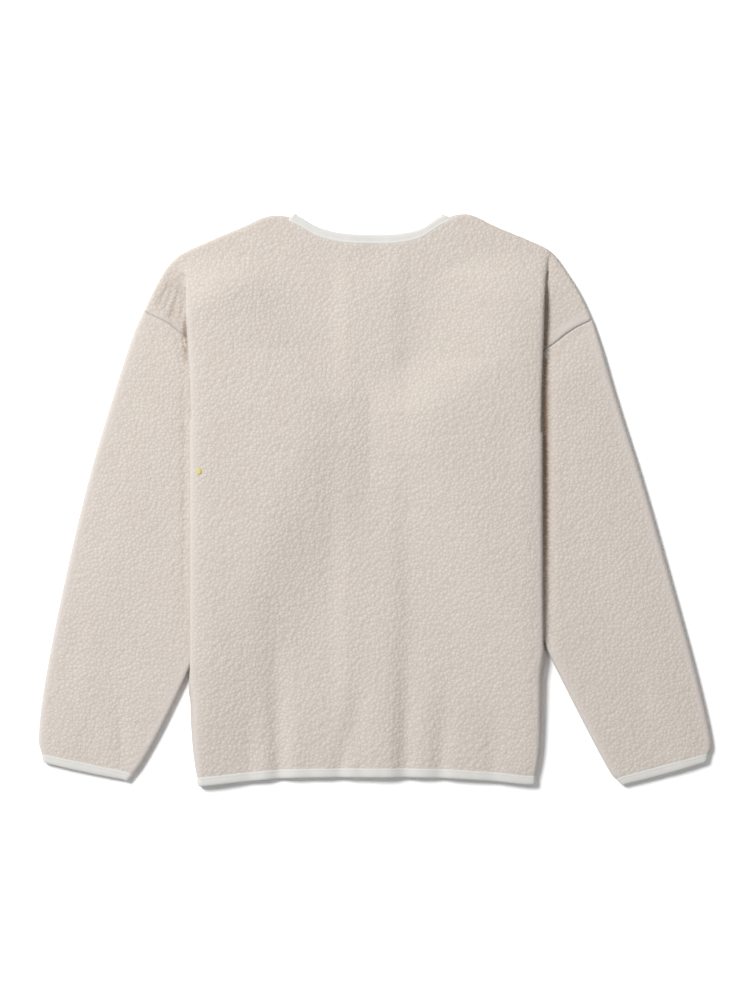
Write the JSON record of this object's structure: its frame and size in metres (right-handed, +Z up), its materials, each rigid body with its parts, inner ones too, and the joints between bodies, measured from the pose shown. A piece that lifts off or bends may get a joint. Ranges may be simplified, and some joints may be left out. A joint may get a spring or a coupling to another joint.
{
  "type": "snap-front fleece jacket",
  "caption": "Boxy collarless fleece jacket with dropped shoulders and bound edges, laid face down with its sleeves turned in beside the body; panels rest on each other",
  "frame": {"origin": "on the surface the jacket lies on, below the middle of its bounding box", "axes": "+Z up from the surface through the back of the jacket, +Y towards the neck, +X across the sleeves towards the wearer's right"},
  "size_m": [0.7645, 0.6533, 0.0211],
  "materials": {
    "fleece": "curly high pile polyester fleece, warm oatmeal",
    "binding": "fine off-white jersey, folded and edge stitched",
    "snap_metal": "satin",
    "yellow_thread": "satin stitched polyester thread"
  },
  "bodies": {
    "root": {"back_panel": "fleece", "front_left": "fleece", "front_right": "fleece", "sleeve_left": "fleece", "sleeve_right": "fleece", "neck_binding": "binding", "hem_binding": "binding", "cuff_binding_left": "binding", "cuff_binding_right": "binding", "front_binding_left": "binding", "front_binding_right": "binding", "snap_1": "snap_metal", "snap_2": "snap_metal", "snap_3": "snap_metal", "snap_4": "snap_metal", "snap_5": "snap_metal", "yellow_tack": "yellow_thread"}
  },
  "joints": []
}
